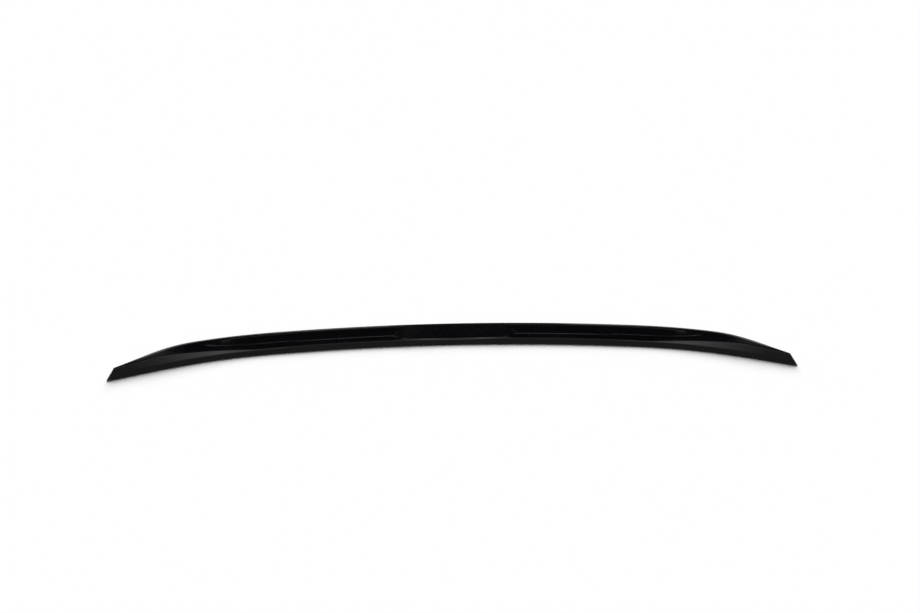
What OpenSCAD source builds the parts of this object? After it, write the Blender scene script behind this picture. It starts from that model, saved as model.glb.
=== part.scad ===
/* [Plan] */
// Length from tip to tip along the chord
span = 1196; // [900:1:1400]
// Turn that the plain bow has built up at each tip, in degrees
bow_turn = 12.3; // [0:0.1:18]
// Further turn of each swept end, in degrees
end_turn = 11.6; // [0:0.1:18]
// Length of the stretch over which each end sweeps round
sweep_run = 244; // [120:1:280]
// Length of the tip beyond that sweep
sweep_tip = 42; // [0:1:80]

/* [Lip] */
// Set-back of the lip face at its top
lip_lean = 4.4; // [2:0.1:8]
// Height of the lip face
lip_height = 7.6; // [5.5:0.1:10]
// Width of the bevel along the top of the lip
lip_bevel = 2; // [1.2:0.1:4]
// Slope of that bevel beside the middle panel, in degrees
lip_bevel_angle = 54; // [42:1:60]
// Reach of the rounding at the top of the lip face
lip_round = 1.2; // [0.5:0.1:2]
// Reach of the rounding at the top of the bevel
bevel_round = 1; // [0.5:0.1:2.5]

/* [Crest] */
// Depth from the lip's foot to the crest
crest_depth = 42.5; // [34:0.5:60]
// Height of the crest
crest_height = 21.5; // [18:0.5:40]
// Width of the flat land on the crest
crest_land = 4; // [1.5:0.1:6]
// Reach of the rounding along the crest
crest_round = 1.3; // [0.5:0.1:3]
// How far the rear face tucks in under the crest
rear_tuck = 3.5; // [0:0.1:6]
// Reach of the rounding at the foot of the rear face
heel_round = 0.8; // [0.3:0.1:1.5]

/* [Trough] */
// Place of the trough's crease, as a share of the way from bevel to crest
crease_share = 0.43; // [0.3:0.01:0.6]
// How deep the crease lies under the straight line from bevel to crest
crease_drop = 1.9; // [0.5:0.1:3]
// Width of the narrow flat along the crease
crease_width = 3; // [1:0.1:6]
// Reach of the rounding along that flat
crease_round = 3; // [0.5:0.1:4]
// Length over which the crease fades out towards each end
crease_fade = 110; // [60:5:160]

/* [Middle panel] */
// Length of the flat middle panel between its two points
panel_length = 234; // [120:1:320]
// Length of each pointed end of the panel
panel_point = 26; // [12:1:50]
// Width of the bevel along the panel's lower edge
panel_bevel = 4; // [2:0.1:5]
// Slope of that bevel in the middle, in degrees
panel_bevel_angle = 45; // [35:1:54]

/* [Ends] */
// Length of the end facet, from where the bevel starts to widen to the tip
facet_run = 257; // [180:1:320]
// Rise of the facet's upper edge for each millimetre of its length
facet_rise = 0.072; // [0.04:0.001:0.1]
// Length over which that rise begins
facet_ease = 40; // [20:1:80]
// Length over which the bevel turns to the facet's slope
facet_blend = 60; // [20:1:100]
// Slope of the facet at its inner end, in degrees
facet_angle = 45; // [38:1:54]
// Slope of the facet at the tip, in degrees
facet_tip_angle = 58; // [45:1:62]
// Length of the end over which the crest comes forward and down
taper_run = 147; // [110:1:200]
// Depth of the section at the tip
tip_depth = 6; // [5:0.5:12]
// Height of the crest at the tip
tip_height = 15.3; // [12:0.1:18]
// Width of the crest land where the end is widest open
end_land = 6; // [2:0.1:8]
// Lean of the tip's cut towards the middle, in degrees from upright
tip_rake = 36; // [0:1:50]
// Turn of the tip's cut seen from above, in degrees
tip_skew = 15; // [0:1:30]
// Reach of the rounding of the tip's front corner, seen from above
tip_round = 3; // [1:0.5:5]

/* [Underside] */
// Thickness of the moulded wall
wall = 3; // [2:0.1:3.6]
// Width of the flat front land that takes the tape
front_land = 10; // [6:0.1:13]
// Width of the flat rear land that takes the tape
rear_land = 6; // [4:0.1:8]
// Draft of the hollow's two sides, as run for each millimetre of height
side_draft = 0.15; // [0.05:0.01:0.25]
// Solid length left at each tip
solid_tip = 92; // [85:1:140]

/* [Mesh] */
// Rings between the middle and one tip
rings = 62; // [40:1:70]
// Steps in each rounded corner
corner_steps = 3; // [2:1:4]

/* [Hidden] */

half = span / 2;
sweep_start = half - sweep_tip - sweep_run;
facet_start = half - facet_run;
taper_start = half - taper_run;
panel_half = panel_length / 2;
hollow_half = half - solid_tip;
// Stretch of the taper that bends before the taper runs straight
taper_bend = 0.61 * taper_run;
// Length over which the tip's cut gathers
cut_run = 0.48 * taper_run;
// Softness where two creases run into each other
soft = 1;
// Largest share of a side that a rounding takes
round_share = 0.42;
// Largest share of the depth that the lip's lean takes
lean_share = 0.45;
// Largest share of the way from bevel to rear edge that the crest land takes
land_share = 0.4;
// Least and most of the way from a fold of the crease to the edge that it runs to
fold_near = 0.1;
fold_far = 0.4;
// How far up its slope the crease moves as it fades
crease_climb = 0.12;
// Narrowest opening left between the two flat lands
least_hollow = 14;
// Least distance along the depth between two bends of the roof
roof_step = 2;
// Set-back of the hollow's front bend behind the top of the bevel
roof_setback = 1.4;

// Value kept between 0 and 1
function clamp(t) = max(0, min(1, t));

// Value part of the way from one to another
function blend(from, to, share) = from + (to - from) * share;

// Rises from 0 to 1 with level ends
function ease(t) = let (c = clamp(t)) c * c * (3 - 2 * c);

// Area under ease(), so a slope that eases in gives a smooth curve
function ease_sum(t) = t < 0 ? 0 : t < 1 ? t * t * t - t * t * t * t / 2 : t - 0.5;

// Smaller of two values with a rounded meeting
function soft_min(a, b, r) = (a + b - sqrt((a - b) * (a - b) + r * r)) / 2;

// Fall of the front edge from the middle, at a distance along the chord
function bow_fall(a) =
  tan(bow_turn) * a * a / span
  + tan(end_turn) * sweep_run * ease_sum((a - sweep_start) / sweep_run);

// Point of the front edge, and its slope there
function edge_y(x) = bow_fall(half) - bow_fall(abs(x));
function edge_slope(x) =
  -sign(x) * (2 * tan(bow_turn) * abs(x) / span
  + tan(end_turn) * ease((abs(x) - sweep_start) / sweep_run));

// Presence of the middle panel: 1 on it, falling evenly to 0 at its points
function panel_at(a) = clamp((panel_half - a) / panel_point);

// Progress of the end's taper, from 0 at its start to 1 at the tip
function taper_at(a) =
  ease_sum((a - taper_start) / taper_bend) / ease_sum(taper_run / taper_bend);

// Depth of the section, from the lip's foot to the crest
function depth_at(a) = blend(crest_depth, tip_depth, taper_at(a));

// Slope of the bevel: its own beside the panel, and others on the panel and on the end facets
function bevel_angle_at(a) =
  let (
    facet = blend(facet_angle, facet_tip_angle, clamp((a - facet_start) / facet_run)),
    middle = blend(lip_bevel_angle, panel_bevel_angle, ease((panel_half - a) / panel_half))
  )
  blend(middle, facet, ease((a - facet_start + facet_blend) / facet_blend));

// Rise of the facet's upper edge above the plain bevel
function facet_rise_at(a) = facet_rise * facet_ease * ease_sum((a - facet_start) / facet_ease);

// Corners of the outer section at a distance from the middle: foot of the lip, top of the lip,
// top of the bevel, lower and upper fold of the crease, both edges of the crest land, and the
// heel. The two folds part at the panel's points and run to the panel's long edges.
function corners(a) =
  let (
    depth = depth_at(a),
    height = blend(crest_height, tip_height, taper_at(a)),
    slope = bevel_angle_at(a),
    panel = panel_at(a),
    bevel = blend(lip_bevel, panel_bevel, ease(panel)),
    lip_n = soft_min(lip_lean, lean_share * depth, soft / 2),
    facet_z = lip_height + bevel * sin(slope) + facet_rise_at(a),
    bevel_z = soft_min(facet_z, height - soft / 2, soft),
    bevel_n = soft_min(lip_n + (bevel_z - lip_height) / tan(slope), depth - 2 * soft, soft),
    wide_land = blend(crest_land, end_land, ease((a - taper_start) / taper_bend)),
    land = soft_min(wide_land, land_share * (depth - bevel_n), soft / 2),
    bevel_top = [bevel_n, bevel_z],
    land_front = [depth - land, height],
    way = land_front - bevel_top,
    fade = ease((a - taper_start - taper_bend / 2 + crease_fade) / crease_fade),
    share = crease_share + crease_climb * fade,
    drop = [0, crease_drop * (1 - fade)],
    flat = crease_width / 2 / norm(way),
    low = max(panel, min(fold_far, flat / share)),
    high = max(panel, min(fold_far, flat / (1 - share)))
  )
  [
    [0, 0],
    [lip_n, lip_height],
    bevel_top,
    bevel_top + way * share * max(fold_near, 1 - low) - drop * (1 - low),
    land_front - way * (1 - share) * max(fold_near, 1 - high) - drop * (1 - high),
    land_front,
    [depth, height],
    [depth - rear_tuck * depth / crest_depth, 0]
  ];

// Rounded corner v between its neighbours p and q, reaching at most r along each side
function rounded(p, v, q, r) =
  let (
    ra = min(r, round_share * norm(p - v)),
    rb = min(r, round_share * norm(q - v)),
    a = v + ra * (p - v) / norm(p - v),
    b = v + rb * (q - v) / norm(q - v)
  )
  [for (i = [0:corner_steps])
    let (t = i / corner_steps)
    (1 - t) * (1 - t) * a + 2 * t * (1 - t) * v + t * t * b];

// Set-back of the front edge that rounds the tip's front corner
function tip_setback(a) = tip_round * pow(clamp((a - half + tip_round) / tip_round), 2);

// Point p of the section at a distance a, set back in a ring at x: fully at the front edge,
// less towards the rear face
function set_back(x, a, p) = [p[0] + tip_setback(abs(x)) * (1 - p[0] / depth_at(a)), p[1]];

// Inner edges of the two flat lands under a section
function land_edges(a) =
  let (heel = corners(a)[7][0], tight = min(1, heel / (front_land + rear_land + least_hollow)))
  [[heel - rear_land * tight, 0], [front_land * tight, 0]];

// Section from the foot of the lip over the crest to the heel, and then the land edges
function section(a) =
  let (
    c = corners(a),
    reaches = [lip_round, bevel_round, crease_round, crease_round, crest_round, crest_round, heel_round],
    last = len(c) - 1
  )
  [
    c[0],
    for (i = [1:last]) each rounded(c[i - 1], c[i], c[(i + 1) % len(c)], reaches[i - 1]),
    each land_edges(a)
  ];

// Roof and sides of the hollow, from the rear land round to the front one
function hollow(a) =
  let (
    c = corners(a),
    e = land_edges(a),
    top = [c[2], c[3], c[4], c[5]],
    drop = wall / cos(atan2(c[5][1] - c[2][1], c[5][0] - c[2][0])),
    rear_n = e[0][0] + side_draft * (c[5][1] - drop),
    front_n = max(e[1][0] + side_draft * (c[2][1] - drop), c[2][0] + roof_setback),
    low_n = max(c[3][0], front_n + roof_step),
    high_n = min(max(c[4][0], low_n + roof_step), rear_n - roof_step)
  )
  [
    [rear_n, lookup(rear_n, top) - drop],
    [high_n, lookup(high_n, top) - drop],
    [low_n, lookup(low_n, top) - drop],
    [front_n, lookup(front_n, top) - drop]
  ];

// Point of the shape at a distance x along the chord, n behind the front edge and z up
function place(x, p) =
  let (m = edge_slope(x), k = 1 / norm([1, m]))
  [x - m * k * p[0], edge_y(x) + k * p[0], p[1]];

// Place where the tip's slanted cut takes a section point
function cut_x(x, p) =
  x - sign(x) * ease((abs(x) - half + cut_run) / cut_run)
  * (p[1] * tan(tip_rake) + p[0] * tan(tip_skew));

// Ring of section points at a distance x, with the tip's cut worked in by two passes
function ring(x) =
  let (flat = section(abs(x)))
  [for (i = [0:len(flat) - 1])
    let (
      x1 = cut_x(x, set_back(x, abs(x), flat[i])),
      x2 = cut_x(x, set_back(x, abs(x1), section(abs(x1))[i]))
    )
    place(x2, set_back(x, abs(x2), section(abs(x2))[i]))];

// Distances of the rings from the middle, closer together at the panel's points and the tips
stops = [
  0,
  panel_half - panel_point,
  panel_half,
  facet_start,
  taper_start,
  hollow_half,
  half - tip_round,
  half
];
ring_shares = [0.1, 0.12, 0.2, 0.19, 0.13, 0.2, 0.06];
half_marks = [
  for (k = [0:len(ring_shares) - 1])
    let (count = round(rings * ring_shares[k]))
    for (i = [0:count - 1]) stops[k] + (stops[k + 1] - stops[k]) * i / count
];
marks = concat(
  [-half],
  [for (i = [len(half_marks) - 1:-1:1]) -half_marks[i]],
  half_marks,
  [half]
);

// Lip spoiler as one closed loft: rings of section points, with the hollow's points kept apart
module lip_spoiler() {
  last = len(marks) - 1;
  // A ring has its outer points, then the inner edge of the rear land and of the front land
  span_points = len(section(0));
  rim = span_points - 2;
  shells = [for (x = marks) ring(x)];
  hollow_marks = [for (i = [0:last]) if (abs(marks[i]) < hollow_half + 0.01) i];
  first_hollow = hollow_marks[0];
  last_hollow = hollow_marks[len(hollow_marks) - 1];
  roofs = [for (i = hollow_marks) [for (p = hollow(abs(marks[i]))) place(marks[i], p)]];
  roof_points = len(roofs[0]);
  base = (last + 1) * span_points;
  reach = [for (s = shells) for (p = s) p[1]];

  function at(i, j) = i * span_points + j;
  // Hollow outline of ring i: rear land edge, roof points, front land edge
  function inner(i, j) =
    j == 0 ? at(i, rim)
    : j == roof_points + 1 ? at(i, rim + 1)
    : base + (i - first_hollow) * roof_points + j - 1;
  function quad(a, b, c, d) = [[a, b, c], [a, c, d]];

  skin = [for (i = [0:last - 1]) for (j = [0:rim - 1])
    each quad(at(i, j), at(i, j + 1), at(i + 1, j + 1), at(i + 1, j))];
  front_strip = [for (i = [0:last - 1])
    each quad(at(i, rim + 1), at(i, 0), at(i + 1, 0), at(i + 1, rim + 1))];
  tip_floor = [for (i = [0:last - 1]) if (i < first_hollow || i >= last_hollow)
    each quad(at(i, rim), at(i, rim + 1), at(i + 1, rim + 1), at(i + 1, rim))];
  roof = [for (i = [first_hollow:last_hollow - 1]) for (j = [0:roof_points])
    each quad(inner(i, j), inner(i, j + 1), inner(i + 1, j + 1), inner(i + 1, j))];
  end_walls = [
    [for (j = [roof_points + 1:-1:0]) inner(first_hollow, j)],
    [for (j = [0:roof_points + 1]) inner(last_hollow, j)]
  ];
  tips = [
    [for (j = [span_points - 1:-1:0]) at(0, j)],
    [for (j = [0:span_points - 1]) at(last, j)]
  ];

  color([0.045, 0.045, 0.05])
    translate([0, -(min(reach) + max(reach)) / 2, 0])
      polyhedron(
        points = concat([for (s = shells) each s], [for (r = roofs) each r]),
        faces = concat(skin, front_strip, tip_floor, roof, end_walls, tips),
        convexity = 10
      );
}

lip_spoiler();
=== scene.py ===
"""Gloss-black lip spoiler: the smooth moulding, its finishes and a plain pale studio."""

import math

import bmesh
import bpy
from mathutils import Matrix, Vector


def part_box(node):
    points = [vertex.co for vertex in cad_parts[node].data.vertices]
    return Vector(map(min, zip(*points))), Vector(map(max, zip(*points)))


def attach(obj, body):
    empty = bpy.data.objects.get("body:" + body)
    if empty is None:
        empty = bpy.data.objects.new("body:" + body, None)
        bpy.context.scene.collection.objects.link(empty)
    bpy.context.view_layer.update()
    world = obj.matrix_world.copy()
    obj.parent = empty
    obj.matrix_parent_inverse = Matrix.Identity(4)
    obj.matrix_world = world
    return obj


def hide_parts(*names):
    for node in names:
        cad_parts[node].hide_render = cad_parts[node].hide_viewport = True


bl_info = {
    "name": "Lip Spoiler",
    "version": (1, 0, 0),
    "blender": (4, 5, 0),
    "location": "3D View > Sidebar > Lip Spoiler",
    "description": "Builds a bowed boot-lid lip spoiler with its moulded finish in a plain studio",
    "category": "Add Mesh",
}

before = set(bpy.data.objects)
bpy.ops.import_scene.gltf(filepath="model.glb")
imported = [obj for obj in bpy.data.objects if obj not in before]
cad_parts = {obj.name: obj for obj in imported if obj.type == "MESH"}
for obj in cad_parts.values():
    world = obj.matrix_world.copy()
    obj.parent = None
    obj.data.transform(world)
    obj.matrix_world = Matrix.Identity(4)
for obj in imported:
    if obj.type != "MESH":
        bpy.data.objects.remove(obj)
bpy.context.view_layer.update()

NODE = "lip_spoiler"
LOW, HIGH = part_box(NODE)


# Sizes of the moulding


class SpoilerPlan(bpy.types.PropertyGroup):
    """Bow of the front edge, seen from above."""

    span: bpy.props.FloatProperty(
        name="Span", description="Length from tip to tip", default=1.196, unit="LENGTH"
    )
    bow_turn: bpy.props.FloatProperty(
        name="Bow turn",
        description="Turn that the plain bow has built up at each tip",
        default=math.radians(12.3),
        subtype="ANGLE",
    )
    end_turn: bpy.props.FloatProperty(
        name="End turn",
        description="Further turn of each swept end",
        default=math.radians(11.6),
        subtype="ANGLE",
    )
    sweep_run: bpy.props.FloatProperty(
        name="Sweep run",
        description="Length over which each end sweeps round",
        default=0.244,
        unit="LENGTH",
    )
    sweep_tip: bpy.props.FloatProperty(
        name="Sweep tip",
        description="Length of the tip beyond that sweep",
        default=0.042,
        unit="LENGTH",
    )


class SpoilerSection(bpy.types.PropertyGroup):
    """Section through the lip, the trough and the crest."""

    lip_lean: bpy.props.FloatProperty(
        name="Lip lean",
        description="Set-back of the lip face at its top",
        default=0.0044,
        unit="LENGTH",
    )
    lip_height: bpy.props.FloatProperty(
        name="Lip height", description="Height of the lip face", default=0.0076, unit="LENGTH"
    )
    lip_bevel: bpy.props.FloatProperty(
        name="Lip bevel",
        description="Width of the bevel along the lip",
        default=0.002,
        unit="LENGTH",
    )
    lip_bevel_angle: bpy.props.FloatProperty(
        name="Lip bevel angle",
        description="Slope of that bevel beside the middle panel",
        default=math.radians(54),
        subtype="ANGLE",
    )
    lip_round: bpy.props.FloatProperty(
        name="Lip round",
        description="Reach of the rounding on the lip face",
        default=0.0012,
        unit="LENGTH",
    )
    bevel_round: bpy.props.FloatProperty(
        name="Bevel round",
        description="Reach of the rounding on the bevel",
        default=0.001,
        unit="LENGTH",
    )
    crest_depth: bpy.props.FloatProperty(
        name="Crest depth",
        description="Depth from the lip's foot to the crest",
        default=0.0425,
        unit="LENGTH",
    )
    crest_height: bpy.props.FloatProperty(
        name="Crest height",
        description="Height of the crest",
        default=HIGH.z - LOW.z,
        unit="LENGTH",
    )
    crest_land: bpy.props.FloatProperty(
        name="Crest land",
        description="Width of the flat land on the crest",
        default=0.0065,
        unit="LENGTH",
    )
    crest_round: bpy.props.FloatProperty(
        name="Crest round",
        description="Reach of the rounding along the crest's front",
        default=0.003,
        unit="LENGTH",
    )
    crest_rear_round: bpy.props.FloatProperty(
        name="Crest rear round",
        description="Reach of the rounding along the crest's rear",
        default=0.0013,
        unit="LENGTH",
    )
    rear_tuck: bpy.props.FloatProperty(
        name="Rear tuck",
        description="How far the rear face tucks in",
        default=0.0035,
        unit="LENGTH",
    )
    heel_round: bpy.props.FloatProperty(
        name="Heel round",
        description="Reach of the rounding at the rear foot",
        default=0.0008,
        unit="LENGTH",
    )
    crease_share: bpy.props.FloatProperty(
        name="Crease share",
        description="Place of the trough's crease on its slope",
        default=0.43,
    )
    crease_drop: bpy.props.FloatProperty(
        name="Crease drop",
        description="Depth of the crease under its slope",
        default=0.0019,
        unit="LENGTH",
    )
    crease_width: bpy.props.FloatProperty(
        name="Crease width",
        description="Width of the narrow flat along the crease",
        default=0.003,
        unit="LENGTH",
    )
    crease_round: bpy.props.FloatProperty(
        name="Crease round",
        description="Reach of the rounding along that flat",
        default=0.003,
        unit="LENGTH",
    )
    crease_fade: bpy.props.FloatProperty(
        name="Crease fade",
        description="Length over which the crease fades out",
        default=0.11,
        unit="LENGTH",
    )


class SpoilerPanel(bpy.types.PropertyGroup):
    """Flat panel in the middle, with its pointed ends and its bevel."""

    panel_length: bpy.props.FloatProperty(
        name="Panel length",
        description="Length between its two points",
        default=0.234,
        unit="LENGTH",
    )
    panel_point: bpy.props.FloatProperty(
        name="Panel point",
        description="Length of each pointed end of it",
        default=0.026,
        unit="LENGTH",
    )
    panel_bevel: bpy.props.FloatProperty(
        name="Panel bevel",
        description="Width of the bevel along the panel",
        default=0.004,
        unit="LENGTH",
    )
    panel_bevel_angle: bpy.props.FloatProperty(
        name="Panel bevel angle",
        description="Slope of that bevel in the middle",
        default=math.radians(45),
        subtype="ANGLE",
    )


class SpoilerEnds(bpy.types.PropertyGroup):
    """Facets, taper and cut of the two ends."""

    facet_run: bpy.props.FloatProperty(
        name="Facet run", description="Length of the end facet", default=0.257, unit="LENGTH"
    )
    facet_rise: bpy.props.FloatProperty(
        name="Facet rise",
        description="Rise of the facet's upper edge along its length",
        default=0.072,
    )
    facet_ease: bpy.props.FloatProperty(
        name="Facet ease",
        description="Length over which that rise begins",
        default=0.04,
        unit="LENGTH",
    )
    facet_blend: bpy.props.FloatProperty(
        name="Facet blend",
        description="Length over which the bevel turns to the facet",
        default=0.06,
        unit="LENGTH",
    )
    facet_angle: bpy.props.FloatProperty(
        name="Facet angle",
        description="Slope at the facet's inner end",
        default=math.radians(45),
        subtype="ANGLE",
    )
    facet_tip_angle: bpy.props.FloatProperty(
        name="Facet tip angle",
        description="Slope of the facet at the tip",
        default=math.radians(58),
        subtype="ANGLE",
    )
    taper_run: bpy.props.FloatProperty(
        name="Taper run",
        description="Length over which the crest comes forward",
        default=0.147,
        unit="LENGTH",
    )
    tip_depth: bpy.props.FloatProperty(
        name="Tip depth",
        description="Depth of the section at the tip",
        default=0.006,
        unit="LENGTH",
    )
    tip_height: bpy.props.FloatProperty(
        name="Tip height",
        description="Height of the crest at the tip",
        default=0.0153,
        unit="LENGTH",
    )
    end_land: bpy.props.FloatProperty(
        name="End land",
        description="Widest crest land, on the end",
        default=0.006,
        unit="LENGTH",
    )
    tip_rake: bpy.props.FloatProperty(
        name="Tip rake",
        description="Lean of the tip's cut",
        default=math.radians(36),
        subtype="ANGLE",
    )
    tip_skew: bpy.props.FloatProperty(
        name="Tip skew",
        description="Turn of the tip's cut from above",
        default=math.radians(15),
        subtype="ANGLE",
    )
    tip_round: bpy.props.FloatProperty(
        name="Tip round",
        description="Reach of the rounding of the tip's corner",
        default=0.003,
        unit="LENGTH",
    )


class SpoilerUnderside(bpy.types.PropertyGroup):
    """Hollow between the two flat lands."""

    wall: bpy.props.FloatProperty(
        name="Wall", description="Thickness of the moulded wall", default=0.003, unit="LENGTH"
    )
    front_land: bpy.props.FloatProperty(
        name="Front land",
        description="Width of the flat land behind the lip",
        default=0.010,
        unit="LENGTH",
    )
    rear_land: bpy.props.FloatProperty(
        name="Rear land",
        description="Width of the flat land under the rear face",
        default=0.006,
        unit="LENGTH",
    )
    side_draft: bpy.props.FloatProperty(
        name="Side draft",
        description="Run of the hollow's sides along their height",
        default=0.15,
    )
    solid_tip: bpy.props.FloatProperty(
        name="Solid tip",
        description="Solid length left at each tip",
        default=0.092,
        unit="LENGTH",
    )


class SpoilerFinish(bpy.types.PropertyGroup):
    """Colour and surface of the moulding."""

    gloss_color: bpy.props.FloatVectorProperty(
        name="Gloss colour",
        description="Colour of the polished skin",
        default=(0.0010, 0.0008, 0.0020),
        subtype="COLOR",
    )
    haze_color: bpy.props.FloatVectorProperty(
        name="Haze colour",
        description="Colour of the thin handling haze",
        default=(0.0024, 0.0023, 0.0032),
        subtype="COLOR",
    )
    gloss_roughness: bpy.props.FloatProperty(
        name="Gloss roughness", description="Roughness of the polished skin", default=0.07
    )
    back_color: bpy.props.FloatVectorProperty(
        name="Underside colour",
        description="Colour of the unpolished underside",
        default=(0.009, 0.009, 0.010),
        subtype="COLOR",
    )
    back_roughness: bpy.props.FloatProperty(
        name="Underside roughness", description="Roughness of the underside", default=0.45
    )


class SpoilerStudio(bpy.types.PropertyGroup):
    """Camera, light and floor."""

    camera_place: bpy.props.FloatVectorProperty(
        name="Camera place",
        description="Camera from the middle of the lip's base",
        default=(-0.0277, -1.0588, 0.6396),
        subtype="TRANSLATION",
    )
    camera_pitch: bpy.props.FloatProperty(
        name="Camera pitch",
        description="How far the camera looks down",
        default=math.radians(27.29),
        subtype="ANGLE",
    )
    camera_yaw: bpy.props.FloatProperty(
        name="Camera yaw",
        description="Turn of the camera to the right",
        default=math.radians(1.91),
        subtype="ANGLE",
    )
    camera_roll: bpy.props.FloatProperty(
        name="Camera roll",
        description="Roll of the camera",
        default=math.radians(-0.24),
        subtype="ANGLE",
    )
    lens: bpy.props.FloatProperty(
        name="Lens",
        description="Focal length on a 36 mm wide frame, in millimetres",
        default=26.53,
    )
    floor_color: bpy.props.FloatVectorProperty(
        name="Floor colour",
        description="Colour of the floor",
        default=(0.94, 0.94, 0.94),
        subtype="COLOR",
    )
    floor_gap: bpy.props.FloatProperty(
        name="Floor gap",
        description="Height of the lip's underside over the floor",
        default=0.0016,
        unit="LENGTH",
    )
    fill_strength: bpy.props.FloatProperty(
        name="Fill strength",
        description="Strength of the broad light over the floor",
        default=4.85,
    )
    fill_height: bpy.props.FloatProperty(
        name="Fill height",
        description="Height of that light over the horizon",
        default=math.radians(38),
        subtype="ANGLE",
    )
    fill_angle: bpy.props.FloatProperty(
        name="Fill angle",
        description="How broad that light is",
        default=math.radians(44),
        subtype="ANGLE",
    )


# Shape


# Marks along each flat side of the section, as shares of its length
FLAT_MARKS = (0.06, 0.5, 0.94)
# Steps in each rounded corner, and the reach of the rounding inside the hollow
CORNER_STEPS = 6
HOLLOW_ROUND = 0.0012
# Spacing of the rings along the span, at the panel's points and the tips, and round a tip's corner
RING_STEP = 0.005
TIP_STEP = 0.0026
CORNER_STEP = 0.0005
# Slack with which a ring still counts as inside the hollow
HOLLOW_SLACK = 1e-6
# Edges that turn more than this stay sharp
SMOOTH_ANGLE = math.radians(32)


def clamp(t):
    """Keeps a value between 0 and 1."""
    return max(0.0, min(1.0, t))


def blend(start, stop, share):
    """Value part of the way from one to another."""
    return start + (stop - start) * share


def ease(t):
    """Rises from 0 to 1 with level ends."""
    c = clamp(t)
    return c * c * (3 - 2 * c)


def ease_sum(t):
    """Area under ease, so a slope that eases in gives a smooth curve."""
    if t < 0:
        return 0.0
    return t ** 3 - t ** 4 / 2 if t < 1 else t - 0.5


def soft_min(a, b, r):
    """Smaller of two values, with a rounded meeting."""
    return (a + b - math.hypot(a - b, r)) / 2


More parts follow.
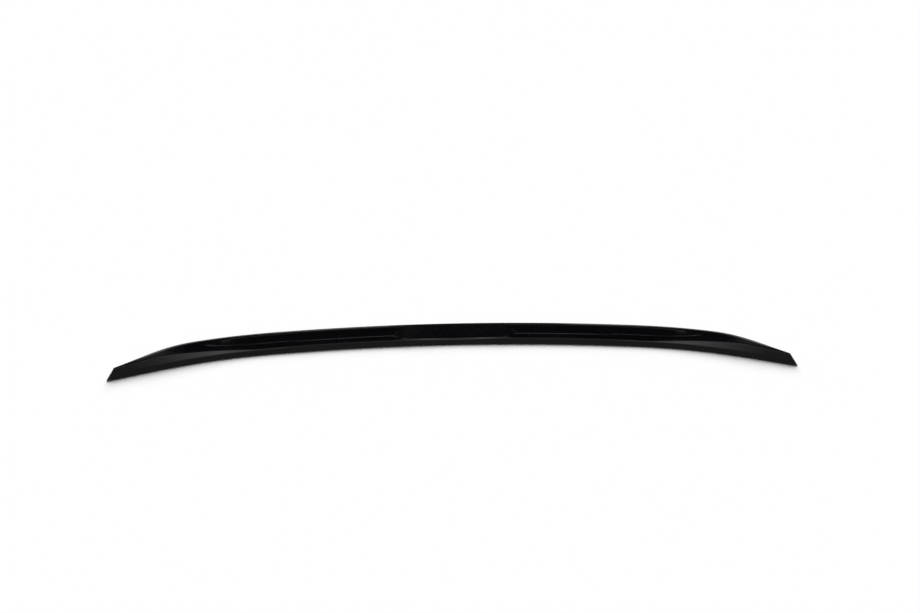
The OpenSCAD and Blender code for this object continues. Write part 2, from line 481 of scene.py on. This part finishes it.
class Shape:
    """Works out points of the spoiler's surface from the sizes in the scene."""

    # Softness where two creases meet, and the shares and least sizes that bound the section
    SOFT = 0.001
    TAPER_BEND_SHARE = 0.61
    CUT_SHARE = 0.48
    ROUND_SHARE = 0.42
    LEAN_SHARE = 0.45
    LAND_SHARE = 0.4
    FOLD_NEAR = 0.1
    FOLD_FAR = 0.4
    CREASE_CLIMB = 0.12
    LEAST_HOLLOW = 0.014
    ROOF_STEP = 0.002
    ROOF_SETBACK = 0.0014

    def __init__(self, scene):
        self.plan = scene.spoiler_plan
        self.section_sizes = scene.spoiler_section
        self.panel = scene.spoiler_panel
        self.ends = scene.spoiler_ends
        self.under = scene.spoiler_underside
        self.half = self.plan.span / 2
        self.sweep_start = self.half - self.plan.sweep_tip - self.plan.sweep_run
        self.facet_start = self.half - self.ends.facet_run
        self.taper_start = self.half - self.ends.taper_run
        self.taper_bend = self.TAPER_BEND_SHARE * self.ends.taper_run
        self.cut_run = self.CUT_SHARE * self.ends.taper_run
        self.hollow_half = self.half - self.under.solid_tip
        self.panel_half = self.panel.panel_length / 2

    def bow_fall(self, a):
        """Fall of the front edge from the middle."""
        p = self.plan
        end = math.tan(p.end_turn) * p.sweep_run * ease_sum((a - self.sweep_start) / p.sweep_run)
        return math.tan(p.bow_turn) * a * a / p.span + end

    def edge_y(self, x):
        """Place of the front edge, counted from the line between the tips."""
        return self.bow_fall(self.half) - self.bow_fall(abs(x))

    def edge_slope(self, x):
        """Slope of the front edge, seen from above."""
        p = self.plan
        bow = 2 * math.tan(p.bow_turn) * abs(x) / p.span
        end = math.tan(p.end_turn) * ease((abs(x) - self.sweep_start) / p.sweep_run)
        return -math.copysign(bow + end, x) if x else 0.0

    def taper_at(self, a):
        """Progress of the end's taper, from 0 at its start to 1 at the tip."""
        whole = ease_sum(self.ends.taper_run / self.taper_bend)
        return ease_sum((a - self.taper_start) / self.taper_bend) / whole

    def depth_at(self, a):
        """Depth of the section, from the lip's foot to the crest."""
        return blend(self.section_sizes.crest_depth, self.ends.tip_depth, self.taper_at(a))

    def bevel_angle_at(self, a):
        """Slope of the bevel: its own beside the panel, others on the panel and the end facets."""
        e = self.ends
        facet = blend(e.facet_angle, e.facet_tip_angle, clamp((a - self.facet_start) / e.facet_run))
        near = ease((self.panel_half - a) / self.panel_half)
        middle = blend(self.section_sizes.lip_bevel_angle, self.panel.panel_bevel_angle, near)
        return blend(middle, facet, ease((a - self.facet_start + e.facet_blend) / e.facet_blend))

    def corners(self, a):
        """Eight corners of the outer section, from the lip's foot over the crest to the heel."""
        s, e = self.section_sizes, self.ends
        depth = self.depth_at(a)
        height = blend(s.crest_height, e.tip_height, self.taper_at(a))
        slope = self.bevel_angle_at(a)
        panel = clamp((self.panel_half - a) / self.panel.panel_point)
        bevel = blend(s.lip_bevel, self.panel.panel_bevel, ease(panel))
        lip_n = soft_min(s.lip_lean, self.LEAN_SHARE * depth, self.SOFT / 2)
        rise = e.facet_rise * e.facet_ease * ease_sum((a - self.facet_start) / e.facet_ease)
        facet_z = s.lip_height + bevel * math.sin(slope) + rise
        bevel_z = soft_min(facet_z, height - self.SOFT / 2, self.SOFT)
        run = (bevel_z - s.lip_height) / math.tan(slope)
        bevel_n = soft_min(lip_n + run, depth - 2 * self.SOFT, self.SOFT)
        wide = blend(s.crest_land, e.end_land, ease((a - self.taper_start) / self.taper_bend))
        land = soft_min(wide, self.LAND_SHARE * (depth - bevel_n), self.SOFT / 2)
        top = Vector((bevel_n, bevel_z))
        front = Vector((depth - land, height))
        way = front - top
        fade = ease((a - self.taper_start - self.taper_bend / 2 + s.crease_fade) / s.crease_fade)
        share = s.crease_share + self.CREASE_CLIMB * fade
        drop = Vector((0, s.crease_drop * (1 - fade)))
        flat = s.crease_width / 2 / way.length
        low = max(panel, min(self.FOLD_FAR, flat / share))
        high = max(panel, min(self.FOLD_FAR, flat / (1 - share)))
        return [
            Vector((0, 0)),
            Vector((lip_n, s.lip_height)),
            top,
            top + way * share * max(self.FOLD_NEAR, 1 - low) - drop * (1 - low),
            front - way * (1 - share) * max(self.FOLD_NEAR, 1 - high) - drop * (1 - high),
            front,
            Vector((depth, height)),
            Vector((depth - s.rear_tuck * depth / s.crest_depth, 0)),
        ]

    def rounded(self, p, v, q, reach):
        """Points of a rounded corner v between p and q."""
        a = v + (p - v).normalized() * min(reach, self.ROUND_SHARE * (p - v).length)
        b = v + (q - v).normalized() * min(reach, self.ROUND_SHARE * (q - v).length)
        steps = [i / CORNER_STEPS for i in range(CORNER_STEPS + 1)]
        return [(1 - t) ** 2 * a + 2 * t * (1 - t) * v + t * t * b for t in steps]

    def land_edges(self, a):
        """Inner edges of the two flat lands."""
        u = self.under
        heel = self.corners(a)[7][0]
        tight = min(1.0, heel / (u.front_land + u.rear_land + self.LEAST_HOLLOW))
        return [Vector((heel - u.rear_land * tight, 0)), Vector((u.front_land * tight, 0))]

    def section(self, a):
        """Outer points of the section, then its land edges."""
        c = self.corners(a)
        s = self.section_sizes
        reaches = [s.lip_round, s.bevel_round, s.crease_round, s.crease_round]
        reaches += [s.crest_round, s.crest_rear_round, s.heel_round]
        stretches = [[c[0]]]
        for i, reach in enumerate(reaches):
            stretches.append(self.rounded(c[i], c[i + 1], c[(i + 2) % len(c)], reach))
        points = []
        for before, after in zip(stretches, stretches[1:]):
            points += before
            points += [before[-1].lerp(after[0], t) for t in FLAT_MARKS]
        return points + stretches[-1] + self.land_edges(a)

    def hollow(self, a):
        """Roof and sides of the hollow, from the rear land round to the front one."""
        u, c, e = self.under, self.corners(a), self.land_edges(a)
        slope = math.atan2(c[5][1] - c[2][1], c[5][0] - c[2][0])
        drop = u.wall / math.cos(slope)

        def under_skin(n):
            """Point of the roof, one wall under the outer skin."""
            for p, q in zip(c[2:6], c[3:6]):
                if n <= q[0]:
                    break
            share = clamp((n - p[0]) / (q[0] - p[0]))
            return Vector((n, blend(p[1], q[1], share) - drop))

        rear_n = e[0][0] + u.side_draft * (c[5][1] - drop)
        front_n = max(e[1][0] + u.side_draft * (c[2][1] - drop), c[2][0] + self.ROOF_SETBACK)
        low_n = max(c[3][0], front_n + self.ROOF_STEP)
        high_n = min(max(c[4][0], low_n + self.ROOF_STEP), rear_n - self.ROOF_STEP)
        bends = [e[0], *(under_skin(n) for n in (rear_n, high_n, low_n, front_n)), e[1]]
        points = []
        for p, v, q in zip(bends, bends[1:], bends[2:]):
            points += self.rounded(p, v, q, HOLLOW_ROUND)
        return points

    def set_back(self, x, a, p):
        """Point of the section set back in a ring at x, which rounds the tip's front corner."""
        corner = self.ends.tip_round
        back = corner * clamp((abs(x) - self.half + corner) / corner) ** 2
        return Vector((p[0] + back * (1 - p[0] / self.depth_at(a)), p[1]))

    def place(self, x, p):
        """Point at a distance x along the chord, p[0] behind the front edge and p[1] up."""
        m = self.edge_slope(x)
        k = 1 / math.hypot(1, m)
        return Vector((x - m * k * p[0], self.edge_y(x) + k * p[0], p[1]))

    def cut_x(self, x, p):
        """Place where the tip's slanted cut takes a section point."""
        share = ease((abs(x) - self.half + self.cut_run) / self.cut_run)
        slant = p[1] * math.tan(self.ends.tip_rake) + p[0] * math.tan(self.ends.tip_skew)
        return x - math.copysign(share * slant, x)

    def ring(self, x):
        """Section points at x, with the tip's cut worked in by two passes."""
        flat = self.section(abs(x))
        if abs(x) < self.half - self.cut_run:
            return [self.place(x, p) for p in flat]
        out = []
        for i, p in enumerate(flat):
            x1 = self.cut_x(x, self.set_back(x, abs(x), p))
            x2 = self.cut_x(x, self.set_back(x, abs(x1), self.section(abs(x1))[i]))
            out.append(self.place(x2, self.set_back(x, abs(x2), self.section(abs(x2))[i])))
        return out


def spaced(start, stop, step):
    """Even marks from start up to, and not including, stop."""
    count = max(1, round((stop - start) / step))
    return [start + (stop - start) * i / count for i in range(count)]


def ring_marks(shape):
    """Places of the rings along the chord, closer together on the panel's points and the tips."""
    inner = shape.panel_half - shape.panel.panel_point
    corner = shape.half - shape.ends.tip_round
    half = spaced(0, inner, RING_STEP)
    half += spaced(inner, shape.panel_half, TIP_STEP)
    half += spaced(shape.panel_half, shape.hollow_half, RING_STEP)
    half += spaced(shape.hollow_half, corner, TIP_STEP)
    half += spaced(corner, shape.half, CORNER_STEP)
    half.append(shape.half)
    return [-a for a in half[:0:-1]] + half


def spoiler_mesh(scene):
    """Loft of the spoiler, with its hollow, as one closed mesh."""
    shape = Shape(scene)
    marks = ring_marks(shape)
    shells = [shape.ring(x) for x in marks]
    reach = [p.y for shell in shells for p in shell]
    mid = (LOW + HIGH) / 2
    shift = Vector((mid.x, mid.y - (min(reach) + max(reach)) / 2, LOW.z))
    bm = bmesh.new()
    rings = [[bm.verts.new(p + shift) for p in shell] for shell in shells]
    roofs = []
    for x in marks:
        roof = None
        if abs(x) < shape.hollow_half + HOLLOW_SLACK:
            roof = [bm.verts.new(shape.place(x, p) + shift) for p in shape.hollow(abs(x))]
        roofs.append(roof)
    under = []

    def strip(row_a, row_b, keep=None):
        """Faces between two rows of points, also kept in a list where one is given."""
        for a, b, c, d in zip(row_a, row_a[1:], row_b[1:], row_b):
            face = bm.faces.new((a, d, c, b))
            if keep is not None:
                keep.append(face)

    for a, b, roof_a, roof_b in zip(rings, rings[1:], roofs, roofs[1:]):
        strip(a[:-1], b[:-1])
        strip([a[-1], a[0]], [b[-1], b[0]], under)
        if roof_a and roof_b:
            strip([a[-2], *roof_a, a[-1]], [b[-2], *roof_b, b[-1]], under)
        else:
            strip([a[-2], a[-1]], [b[-2], b[-1]], under)
    hollow = [i for i, roof in enumerate(roofs) if roof]
    first, last = hollow[0], hollow[-1]
    under.append(bm.faces.new([rings[first][-2], *roofs[first], rings[first][-1]]))
    under.append(bm.faces.new([rings[last][-1], *reversed(roofs[last]), rings[last][-2]]))
    bm.faces.new(rings[0])
    bm.faces.new(list(reversed(rings[-1])))
    bmesh.ops.recalc_face_normals(bm, faces=bm.faces)
    for face in bm.faces:
        face.smooth = True
        face.material_index = 0
    for face in under:
        face.material_index = 1
    mesh = bpy.data.meshes.new("spoiler_moulding")
    bm.to_mesh(mesh)
    bm.free()
    mesh.set_sharp_from_angle(angle=SMOOTH_ANGLE)
    return mesh


# Nodes


def node_at(tree, kind, x, y, **values):
    """Adds a node and sets its settings, or else its inputs, by name."""
    node = tree.nodes.new(kind)
    node.location = (x, y)
    for key, value in values.items():
        if hasattr(node, key):
            setattr(node, key, value)
        else:
            node.inputs[key.replace("_", " ").title()].default_value = value
    return node


def math_at(tree, operation, x, y, first, second):
    """Adds a sum of two sockets or numbers and gives its result."""
    node = node_at(tree, "ShaderNodeMath", x, y, operation=operation)
    for socket, value in zip(node.inputs, (first, second)):
        if isinstance(value, bpy.types.NodeSocket):
            tree.links.new(value, socket)
        else:
            socket.default_value = value
    return node.outputs["Value"]


def range_at(tree, x, y, value, start, end, **values):
    """Adds a map of a value, from 0 at start to 1 at end, and gives its result."""
    node = node_at(tree, "ShaderNodeMapRange", x, y, from_min=start, from_max=end, **values)
    tree.links.new(value, node.inputs["Value"])
    return node.outputs["Result"]


def mix_at(tree, x, y, share, first, second):
    """Adds a mix of two colours by a mask and gives its result."""
    node = node_at(tree, "ShaderNodeMix", x, y, data_type="RGBA")
    sockets = {socket.identifier: socket for socket in node.inputs}
    tree.links.new(share, sockets["Factor_Float"])
    for key, value in (("A_Color", first), ("B_Color", second)):
        if isinstance(value, bpy.types.NodeSocket):
            tree.links.new(value, sockets[key])
        else:
            sockets[key].default_value = (*value, 1)
    return node.outputs[2]


def new_group(name, inputs, outputs):
    """Starts a shader node group with named inputs and outputs."""
    group = bpy.data.node_groups.new(name, "ShaderNodeTree")
    for label, kind, default in inputs:
        socket = group.interface.new_socket(label, in_out="INPUT", socket_type=kind)
        socket.default_value = default
    for label, kind in outputs:
        group.interface.new_socket(label, in_out="OUTPUT", socket_type=kind)
    start = node_at(group, "NodeGroupInput", -900, 0)
    end = node_at(group, "NodeGroupOutput", 700, 0)
    return group, start, end


# Patterns of the marks: scales for each metre, and the band of each pattern that shows
HAZE_SCALE = 9.0
HAZE_BAND = (0.42, 0.75)
SCRATCH_SCALE = 240.0
SCRATCH_BAND = (0.60, 0.72)
# Stretch of the scratches along the span, and their turn in radians
SCRATCH_STRETCH = (0.06, 1.0, 1.0)
SCRATCH_TURN = (0.0, 0.0, 0.12)
# Size of a speck of dust in its cell, share of the cells that hold one, and its colour
DUST_SCALE = 900.0
DUST_SIZE = 0.1
DUST_SHARE = 0.12
DUST_COLOR = (0.16, 0.155, 0.15)
# Haze and scratches together, where both are at their fullest
MARKS_FULL = 2
# Roughness that full marks add, and scale for each metre and depth in metres of the grain
GLOSS_RELIEF = {"rough_gain": 0.10, "grain_scale": 260.0, "grain_depth": 0.000004}
BACK_RELIEF = {"rough_gain": 0.15, "grain_scale": 1400.0, "grain_depth": 0.00006}
# How much paler the haze is than the underside's own colour
BACK_HAZE_GAIN = 1.6
PLASTIC_IOR = 1.5


def handling_marks_group():
    """Haze, fine scratches and specks of dust, as masks that change over the surface."""
    group, start, end = new_group(
        "Handling marks",
        [
            ("Haze scale", "NodeSocketFloat", HAZE_SCALE),
            ("Scratch scale", "NodeSocketFloat", SCRATCH_SCALE),
            ("Dust scale", "NodeSocketFloat", DUST_SCALE),
            ("Dust amount", "NodeSocketFloat", DUST_SIZE),
        ],
        [(label, "NodeSocketFloat") for label in ("Haze", "Scratches", "Dust")],
    )
    link = group.links.new
    place = node_at(group, "ShaderNodeTexCoord", -900, -300)
    haze = node_at(group, "ShaderNodeTexNoise", -500, 250, detail=5, roughness=0.6)
    link(place.outputs["Object"], haze.inputs["Vector"])
    link(start.outputs["Haze scale"], haze.inputs["Scale"])
    link(range_at(group, -250, 250, haze.outputs["Fac"], *HAZE_BAND), end.inputs["Haze"])

    stretch = node_at(
        group, "ShaderNodeMapping", -700, -50, scale=SCRATCH_STRETCH, rotation=SCRATCH_TURN
    )
    link(place.outputs["Object"], stretch.inputs["Vector"])
    scratch = node_at(group, "ShaderNodeTexNoise", -500, -50, detail=3)
    link(stretch.outputs["Vector"], scratch.inputs["Vector"])
    link(start.outputs["Scratch scale"], scratch.inputs["Scale"])
    scratches = range_at(group, -250, -50, scratch.outputs["Fac"], *SCRATCH_BAND)
    link(scratches, end.inputs["Scratches"])

    dust = node_at(group, "ShaderNodeTexVoronoi", -500, -350)
    link(place.outputs["Object"], dust.inputs["Vector"])
    link(start.outputs["Dust scale"], dust.inputs["Scale"])
    size = start.outputs["Dust amount"]
    near = math_at(group, "LESS_THAN", -250, -350, dust.outputs["Distance"], size)
    cell = node_at(group, "ShaderNodeSeparateColor", -250, -550)
    link(dust.outputs["Color"], cell.inputs["Color"])
    chosen = math_at(group, "LESS_THAN", 0, -550, cell.outputs["Red"], DUST_SHARE)
    link(math_at(group, "MULTIPLY", 200, -400, near, chosen), end.inputs["Dust"])
    return group


def finish_material(name, marks, base, haze, rough, rough_gain, grain_scale, grain_depth):
    """Moulded black plastic whose colour, roughness and relief change over the surface."""
    material = bpy.data.materials.new(name)
    material.use_nodes = True
    tree = material.node_tree
    tree.nodes.clear()
    link = tree.links.new
    out = node_at(tree, "ShaderNodeOutputMaterial", 900, 0)
    shader = node_at(tree, "ShaderNodeBsdfPrincipled", 600, 0)
    shader.inputs["IOR"].default_value = PLASTIC_IOR
    link(shader.outputs["BSDF"], out.inputs["Surface"])
    masks = node_at(tree, "ShaderNodeGroup", -500, 0, node_tree=marks).outputs

    hazy = mix_at(tree, -200, 250, masks["Haze"], base, haze)
    dusty = mix_at(tree, 100, 250, masks["Dust"], hazy, DUST_COLOR)
    link(dusty, shader.inputs["Base Color"])

    wear = math_at(tree, "ADD", -200, 0, masks["Haze"], masks["Scratches"])
    rougher = range_at(
        tree, 100, 0, wear, 0, MARKS_FULL, to_min=rough, to_max=rough + rough_gain
    )
    link(rougher, shader.inputs["Roughness"])

    place = node_at(tree, "ShaderNodeTexCoord", -500, -350)
    grain = node_at(tree, "ShaderNodeTexNoise", -200, -350, scale=grain_scale, detail=2)
    link(place.outputs["Object"], grain.inputs["Vector"])
    bump = node_at(tree, "ShaderNodeBump", 300, -350, strength=1, distance=grain_depth)
    link(grain.outputs["Fac"], bump.inputs["Height"])
    link(bump.outputs["Normal"], shader.inputs["Normal"])
    return material


# Operators


class LIPSPOILER_OT_moulding(bpy.types.Operator):
    """Build the smooth moulding over the solid and give it its finishes."""

    bl_idname = "lip_spoiler.moulding"
    bl_label = "Spoiler moulding"

    def execute(self, context):
        finish = context.scene.spoiler_finish
        marks = handling_marks_group()
        gloss = finish_material(
            "gloss_black_skin",
            marks,
            base=finish.gloss_color,
            haze=finish.haze_color,
            rough=finish.gloss_roughness,
            **GLOSS_RELIEF,
        )
        satin = finish_material(
            "unpolished_underside",
            marks,
            base=finish.back_color,
            haze=[BACK_HAZE_GAIN * c for c in finish.back_color],
            rough=finish.back_roughness,
            **BACK_RELIEF,
        )
        piece = bpy.data.objects.new("spoiler_moulding", spoiler_mesh(context.scene))
        context.scene.collection.objects.link(piece)
        piece.data.materials.append(gloss)
        piece.data.materials.append(satin)
        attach(piece, "root")
        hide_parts(NODE)
        return {"FINISHED"}


class LIPSPOILER_OT_studio(bpy.types.Operator):
    """Lay the pale floor, light it softly and set the camera."""

    bl_idname = "lip_spoiler.studio"
    bl_label = "Pale studio"

    def execute(self, context):
        scene = context.scene
        studio = scene.spoiler_studio
        lay_floor(scene, studio)
        hang_fill(scene, studio)
        colour_world(scene)
        set_camera(scene, studio)
        scene.view_settings.view_transform = "Standard"
        return {"FINISHED"}


# Studio


# Half the floor's width, and the cells along each side of it
FLOOR_HALF = 40.0
FLOOR_CELLS = 8
# Where the light stands, though only its turn matters
FILL_PLACE = (0, 2, 2)
# Width of the camera's frame, in millimetres
FRAME_WIDTH = 36


def lay_floor(scene, studio):
    """Wide plain floor under the lip, clear when seen from below."""
    mesh = bpy.data.meshes.new("floor")
    bm = bmesh.new()
    bmesh.ops.create_grid(bm, x_segments=FLOOR_CELLS, y_segments=FLOOR_CELLS, size=FLOOR_HALF)
    bm.to_mesh(mesh)
    bm.free()
    floor = bpy.data.objects.new("floor", mesh)
    floor.location.z = LOW.z - studio.floor_gap
    scene.collection.objects.link(floor)
    material = bpy.data.materials.new("pale_floor")
    material.use_nodes = True
    tree = material.node_tree
    link = tree.links.new
    shader = tree.nodes["Principled BSDF"]
    shader.inputs["Base Color"].default_value = (*studio.floor_color, 1)
    shader.inputs["Roughness"].default_value = 1
    shader.inputs["Specular IOR Level"].default_value = 0
    sides = node_at(tree, "ShaderNodeNewGeometry", -300, 300)
    clear = node_at(tree, "ShaderNodeBsdfTransparent", -300, -200)
    either = node_at(tree, "ShaderNodeMixShader", 300, 0)
    link(sides.outputs["Backfacing"], either.inputs["Fac"])
    link(shader.outputs["BSDF"], either.inputs[1])
    link(clear.outputs["BSDF"], either.inputs[2])
    link(either.outputs["Shader"], tree.nodes["Material Output"].inputs["Surface"])
    mesh.materials.append(material)


def hang_fill(scene, studio):
    """Broad, soft light over the floor from high behind the lip."""
    data = bpy.data.lights.new("rear_fill", "SUN")
    data.energy = studio.fill_strength
    data.angle = studio.fill_angle
    lamp = bpy.data.objects.new("rear_fill", data)
    lamp.location = FILL_PLACE
    lamp.rotation_euler = (studio.fill_height - math.pi / 2, 0, 0)
    lamp.visible_glossy = False
    scene.collection.objects.link(lamp)


# Brightness of the mirrored room against the angle that runs from the wall behind the lip,
# over the ceiling, to the wall behind the camera: angle in degrees, then strength
ROOM = (
    (0, 0.016),
    (31, 0.016),
    (33, 0.128),
    (39, 0.104),
    (43, 0.056),
    (47, 0.024),
    (62, 0.024),
    (68, 0.048),
    (74, 0.048),
    (78, 0.04),
    (110, 0.04),
    (118, 0.28),
    (121, 0.68),
    (124, 0.92),
    (127.5, 1.44),
    (131, 0.96),
    (135, 0.496),
    (140, 0.256),
    (146, 0.24),
    (180, 0.224),
)
# Lamps and pale screens behind the lip and over it: strength, then the same angle in
# degrees and the sideways part of the direction, each from where to where
LAMPS = (
    (1.2, (64, 67.3), (-0.151, 0.187)),
    (1.12, (75, 78.5), (-0.18, -0.15)),
    (1.12, (75, 78.5), (0.187, 0.212)),
    (1.12, (-90, 46), (-0.235, -0.07)),
    (1.12, (-90, 46), (0.18, 0.275)),
    (1.12, (-90, 34.5), (-1.1, -0.235)),
    (1.12, (-90, 34.5), (0.275, 1.1)),
)
# Soft edge of each lamp and screen: in degrees, and sideways
LAMP_SOFT = (0.5, 0.012)
# White walls all round fade out between these heights, each the sine of its angle
WALL_TOP = (0.38, 0.4)
# Strength of the even light that reaches all but reflections
AMBIENT = 0.112


def room_ramp(tree, turn):
    """Brightness of the room against its angle, given as a share of the half turn."""
    ramp = node_at(tree, "ShaderNodeValToRGB", -300, 0)
    stops = ramp.color_ramp.elements
    while len(stops) < len(ROOM):
        stops.new(1.0)
    top = max(level for _, level in ROOM)
    for stop, (angle, level) in zip(stops, ROOM):
        stop.position = angle / 180
        stop.color = (level / top, level / top, level / top, 1)
    tree.links.new(turn, ramp.inputs["Fac"])
    return math_at(tree, "MULTIPLY", 0, 0, ramp.outputs["Color"], top)


def window(tree, x, y, value, start, end, soft):
    """One between start and end, with soft edges, and nothing outside them."""
    eased = {"interpolation_type": "SMOOTHSTEP"}
    rise = range_at(tree, x, y, value, start - soft, start + soft, **eased)
    fall = range_at(tree, x, y - 260, value, end + soft, end - soft, **eased)
    return math_at(tree, "MULTIPLY", x + 200, y, rise, fall)


def colour_world(scene):
    """Room that reflections show, white for the camera and an even light for all else.

    It is dark, with low white walls, thin lamps, pale screens and a wide soft box.
    """
    world = bpy.data.worlds.new("studio_room")
    scene.world = world
    world.use_nodes = True
    tree = world.node_tree
    tree.nodes.clear()
    link = tree.links.new

    place = node_at(tree, "ShaderNodeTexCoord", -1100, 0)
    split = node_at(tree, "ShaderNodeSeparateXYZ", -900, 0)
    link(place.outputs["Generated"], split.inputs["Vector"])
    side, ahead, up = (split.outputs[axis] for axis in "XYZ")
    turn = math_at(tree, "DIVIDE", -500, 0, math_at(tree, "ARCTAN2", -700, 0, up, ahead), math.pi)
    degrees = math_at(tree, "MULTIPLY", -300, -300, turn, 180)

    room = room_ramp(tree, turn)
    for row, (level, heights, places) in enumerate(LAMPS):
        y = -600 * (row + 1)
        tall = window(tree, 0, y, degrees, *heights, LAMP_SOFT[0])
        wide = window(tree, 400, y, side, *places, LAMP_SOFT[1])
        shape = math_at(tree, "MULTIPLY", 700, y, tall, wide)
        lamp = math_at(tree, "MULTIPLY", 850, y, shape, level)
        room = math_at(tree, "MAXIMUM", 1000, y, room, lamp)
    walls = range_at(tree, 0, -300, up, *WALL_TOP, to_min=1, to_max=0)
    room = math_at(tree, "MAXIMUM", 1000, -300, room, walls)

    rays = node_at(tree, "ShaderNodeLightPath", -300, 500).outputs
    room = math_at(tree, "MAXIMUM", 1150, 0, room, rays["Is Camera Ray"])
    mirrored = math_at(tree, "MAXIMUM", 0, 400, rays["Is Glossy Ray"], rays["Is Transmission Ray"])
    seen = math_at(tree, "MAXIMUM", 200, 400, rays["Is Camera Ray"], mirrored)
    choice = node_at(tree, "ShaderNodeMix", 1350, 100, data_type="FLOAT")
    link(seen, choice.inputs[0])
    choice.inputs[2].default_value = AMBIENT
    link(room, choice.inputs[3])
    back = node_at(tree, "ShaderNodeBackground", 1550, 0)
    back.inputs["Color"].default_value = (1, 1, 1, 1)
    link(choice.outputs[0], back.inputs["Strength"])
    out = node_at(tree, "ShaderNodeOutputWorld", 1750, 0)
    link(back.outputs["Background"], out.inputs["Surface"])


def set_camera(scene, studio):
    """Camera at the photograph's viewing angle."""
    data = bpy.data.cameras.new("camera")
    data.lens = studio.lens
    data.sensor_width = FRAME_WIDTH
    camera = bpy.data.objects.new("camera", data)
    middle = (LOW + HIGH) / 2
    base = Vector((middle.x, middle.y, LOW.z))
    turn = (
        Matrix.Rotation(-studio.camera_yaw, 4, "Z")
        @ Matrix.Rotation(math.pi / 2 - studio.camera_pitch, 4, "X")
        @ Matrix.Rotation(studio.camera_roll, 4, "Z")
    )
    camera.matrix_world = Matrix.Translation(base + Vector(studio.camera_place)) @ turn
    scene.collection.objects.link(camera)
    scene.camera = camera


# Panel and registration


class LIPSPOILER_PT_panel(bpy.types.Panel):
    """Sizes, finishes and the steps that build them."""

    bl_idname = "LIPSPOILER_PT_panel"
    bl_label = "Lip Spoiler"
    bl_space_type = "VIEW_3D"
    bl_region_type = "UI"
    bl_category = "Lip Spoiler"

    def draw(self, context):
        for name in GROUPS:
            group = getattr(context.scene, name)
            box = self.layout.box()
            for key in group.bl_rna.properties.keys():
                if key not in {"rna_type", "name"}:
                    box.prop(group, key)
        self.layout.operator(LIPSPOILER_OT_moulding.bl_idname)
        self.layout.operator(LIPSPOILER_OT_studio.bl_idname)


GROUPS = {
    "spoiler_plan": SpoilerPlan,
    "spoiler_section": SpoilerSection,
    "spoiler_panel": SpoilerPanel,
    "spoiler_ends": SpoilerEnds,
    "spoiler_underside": SpoilerUnderside,
    "spoiler_finish": SpoilerFinish,
    "spoiler_studio": SpoilerStudio,
}
CLASSES = (*GROUPS.values(), LIPSPOILER_OT_moulding, LIPSPOILER_OT_studio, LIPSPOILER_PT_panel)


def register():
    """Registers the classes and hangs the sizes on the scene."""
    for cls in CLASSES:
        bpy.utils.register_class(cls)
    for name, cls in GROUPS.items():
        setattr(bpy.types.Scene, name, bpy.props.PointerProperty(type=cls))


def unregister():
    """Takes the sizes and the classes away again."""
    for name in GROUPS:
        delattr(bpy.types.Scene, name)
    for cls in reversed(CLASSES):
        bpy.utils.unregister_class(cls)


def main():
    """Builds the scene."""
    register()
    bpy.ops.lip_spoiler.studio()
    bpy.ops.lip_spoiler.moulding()


if __name__ == "__main__":
    main()
